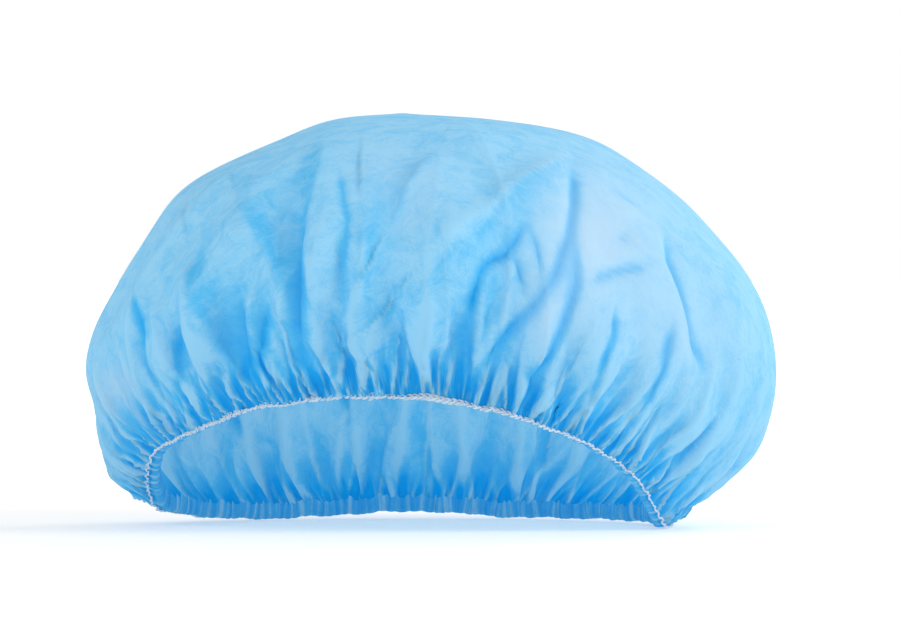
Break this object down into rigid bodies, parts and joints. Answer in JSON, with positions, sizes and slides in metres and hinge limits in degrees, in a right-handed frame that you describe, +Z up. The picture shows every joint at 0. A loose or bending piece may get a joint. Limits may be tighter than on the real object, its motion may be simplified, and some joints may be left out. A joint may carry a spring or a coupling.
{
  "type": "disposable hairnet",
  "caption": "Disposable bouffant hairnet: a puffed crown of thin spunbond cloth gathered onto an elastic hem that arches over the forehead.",
  "frame": {"origin": "on the ground under the middle of the part's box", "axes": "+Z up out of the mouth towards the crown's top, +X to the wearer's left and the picture's right, -Y towards the forehead side"},
  "size_m": [0.2896, 0.2362, 0.175],
  "materials": {
    "cloth": "thin spunbond polypropylene, matt and see-through",
    "elastic": "white covered latex-free elastic"
  },
  "bodies": {
    "root": {"crown": "cloth", "hem": "cloth", "elastic": "elastic"}
  },
  "joints": []
}
